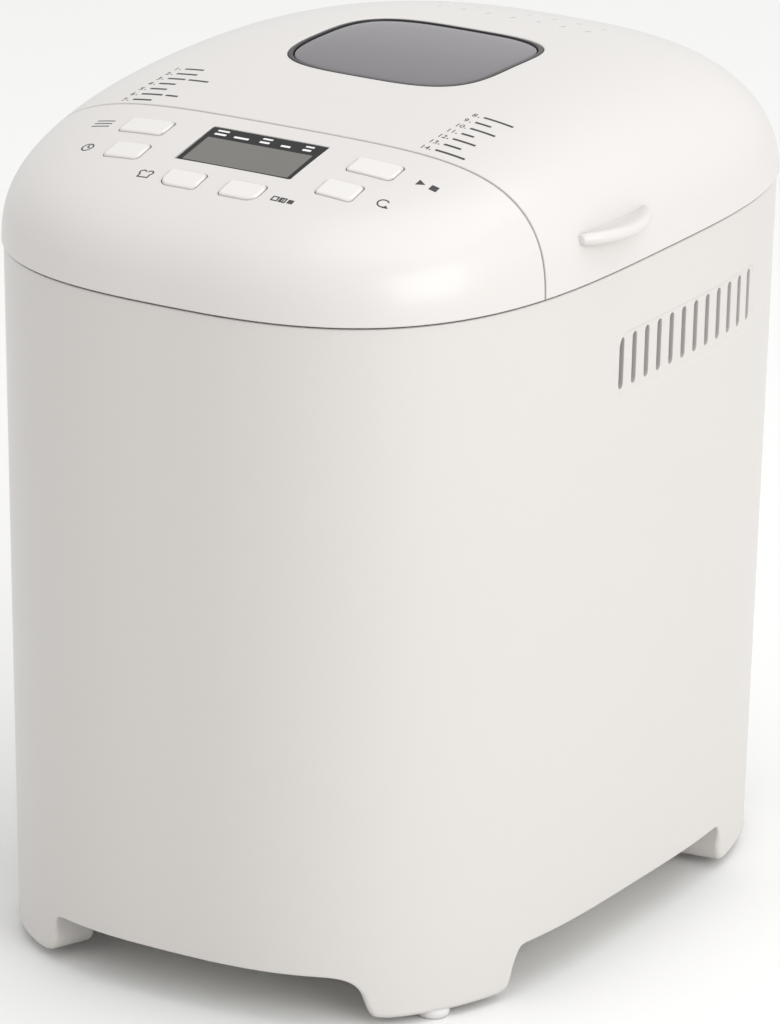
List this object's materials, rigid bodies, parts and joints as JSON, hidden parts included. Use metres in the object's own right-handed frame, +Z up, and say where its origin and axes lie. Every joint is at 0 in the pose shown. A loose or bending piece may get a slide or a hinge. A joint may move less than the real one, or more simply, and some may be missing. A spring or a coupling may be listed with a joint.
{
  "type": "bread machine",
  "caption": "Upright white bread machine with a domed hinged lid, smoked window, sloping control panel with display and buttons, and a lift-out pan with a belt-driven paddle.",
  "frame": {"origin": "on the ground under the middle of the machine", "axes": "+Z up, -Y is the front with the control panel, +X is the right side"},
  "size_m": [0.259, 0.3406, 0.3433],
  "materials": {
    "shell_white": "satin moulded white plastic, warm",
    "cover_white": "soft gloss moulded white plastic",
    "button_white": "satin white plastic",
    "inner_white": "matte off-white plastic",
    "pad_rubber": "pale translucent rubber",
    "zinc_screws": "zinc plated",
    "lcd_glass": "clear lens with a black printed mask",
    "lcd_grey": "grey display",
    "circuit_board": "solder mask",
    "black_parts": "black moulded components",
    "chamber_steel": "aluminised sheet steel",
    "element_sheath": "oxidised heater sheath",
    "ceramic_white": "unglazed ceramic",
    "sensor_steel": "drawn steel",
    "fuse_cream": "glazed ceramic body",
    "spring_steel": "spring steel",
    "cast_alloy": "die cast, as cast",
    "bronze": "sintered bronze",
    "motor_steel": "zinc plated steel",
    "capacitor_cream": "cream moulded plastic",
    "belt_rubber": "black toothed belt rubber",
    "grommet_grey": "moulded nylon",
    "ribbon_grey": "flat ribbon cable",
    "window_black": "gloss black bezel",
    "smoked_glass": "smoked glass",
    "gasket_rubber": "silicone gasket",
    "liner_aluminium": "pressed aluminium",
    "clear_glass": "clear heat-proof glass",
    "nonstick_dark": "dark grey non-stick coating",
    "pan_steel": "stainless steel",
    "pulley_black": "glass-filled nylon"
  },
  "bodies": {
    "housing": {"body_shell": "shell_white", "base_plate": "inner_white", "rubber_feet": "pad_rubber", "base_screws": "zinc_screws", "top_deck": "inner_white", "deck_screws": "zinc_screws", "hinge_housing": "inner_white", "hinge_pins": "spring_steel", "front_cover": "cover_white", "lcd_lens": "lcd_glass", "lcd_module": "lcd_grey", "control_board": "circuit_board", "button_switches": "black_parts", "board_screws": "zinc_screws", "baking_chamber": "chamber_steel", "chamber_brackets": "chamber_steel", "heating_element": "element_sheath", "element_terminals": "ceramic_white", "temperature_sensor": "sensor_steel", "thermal_fuse": "fuse_cream", "pan_clips": "spring_steel", "heat_shield": "chamber_steel", "chassis_plate": "chamber_steel", "chassis_screws": "zinc_screws", "bearing_housing": "cast_alloy", "shaft_bushes": "bronze", "motor_case": "motor_steel", "motor_capacitor": "capacitor_cream", "drive_belt": "belt_rubber", "power_board": "circuit_board", "power_board_parts": "black_parts", "cord_grommet": "grommet_grey", "ribbon_cable": "ribbon_grey"},
    "lid": {"lid_shell": "cover_white", "window_frame": "window_black", "lid_window": "smoked_glass", "window_gasket": "gasket_rubber", "lid_liner": "liner_aluminium", "inner_window": "clear_glass", "lid_screws": "zinc_screws", "lid_hinge_arms": "inner_white"},
    "menu_key": {"menu_button": "button_white"},
    "time_key": {"time_button": "button_white"},
    "loaf_key": {"loaf_button": "button_white"},
    "shade_key": {"shade_button": "button_white"},
    "cycle_key": {"cycle_button": "button_white"},
    "start_key": {"start_button": "button_white"},
    "pan": {"bread_pan": "nonstick_dark", "pan_handle_lugs": "pan_steel", "pan_bush": "bronze"},
    "handle": {"pan_handle": "pan_steel"},
    "paddle": {"kneading_paddle": "nonstick_dark", "pan_shaft": "pan_steel", "pan_coupling": "pan_steel"},
    "drive": {"drive_shaft": "pan_steel", "drive_coupling": "pan_steel", "drive_pulley": "pulley_black"},
    "rotor": {"motor_rotor": "motor_steel", "motor_pulley": "capacitor_cream", "motor_fan": "capacitor_cream"}
  },
  "joints": [
    {"name": "lid_hinge", "type": "hinge", "parent": "housing", "child": "lid", "pos_m": [0, 0.164, 0.286], "axis": [-1, 0, 0], "range_deg": [0, 85]},
    {"name": "menu_press", "type": "slide", "parent": "housing", "child": "menu_key", "axis": [0, 0.225, -0.9744], "range_m": [0, 0.001], "stiffness_N_per_m": 800, "springref_m": -0.001},
    {"name": "time_press", "type": "slide", "parent": "housing", "child": "time_key", "axis": [0, 0.225, -0.9744], "range_m": [0, 0.001], "stiffness_N_per_m": 800, "springref_m": -0.001},
    {"name": "loaf_press", "type": "slide", "parent": "housing", "child": "loaf_key", "axis": [0, 0.225, -0.9744], "range_m": [0, 0.001], "stiffness_N_per_m": 800, "springref_m": -0.001},
    {"name": "shade_press", "type": "slide", "parent": "housing", "child": "shade_key", "axis": [0, 0.225, -0.9744], "range_m": [0, 0.001], "stiffness_N_per_m": 800, "springref_m": -0.001},
    {"name": "cycle_press", "type": "slide", "parent": "housing", "child": "cycle_key", "axis": [0, 0.225, -0.9744], "range_m": [0, 0.001], "stiffness_N_per_m": 800, "springref_m": -0.001},
    {"name": "start_press", "type": "slide", "parent": "housing", "child": "start_key", "axis": [0, 0.225, -0.9744], "range_m": [0, 0.001], "stiffness_N_per_m": 800, "springref_m": -0.001},
    {"name": "pan_lift", "type": "slide", "parent": "housing", "child": "pan", "axis": [0, 0, 1], "range_m": [0, 0.04]},
    {"name": "handle_swing", "type": "hinge", "parent": "pan", "child": "handle", "pos_m": [0, 0.024, 0.238], "axis": [1, 0, 0], "range_deg": [0, 180]},
    {"name": "drive_spin", "type": "hinge", "parent": "housing", "child": "drive", "pos_m": [0, 0.024, 0.05], "axis": [0, 0, 1], "continuous": true},
    {"name": "motor_spin", "type": "hinge", "parent": "housing", "child": "rotor", "pos_m": [0, -0.118, 0.09], "axis": [0, 0, 1], "continuous": true},
    {"name": "paddle_spin", "type": "hinge", "parent": "pan", "child": "paddle", "pos_m": [0, 0.024, 0.1], "axis": [0, 0, 1], "continuous": true}
  ],
  "couplings": [
    {"joint": "motor_spin", "follows": "drive_spin", "ratio": 5.4},
    {"joint": "paddle_spin", "follows": "drive_spin", "ratio": 1}
  ]
}
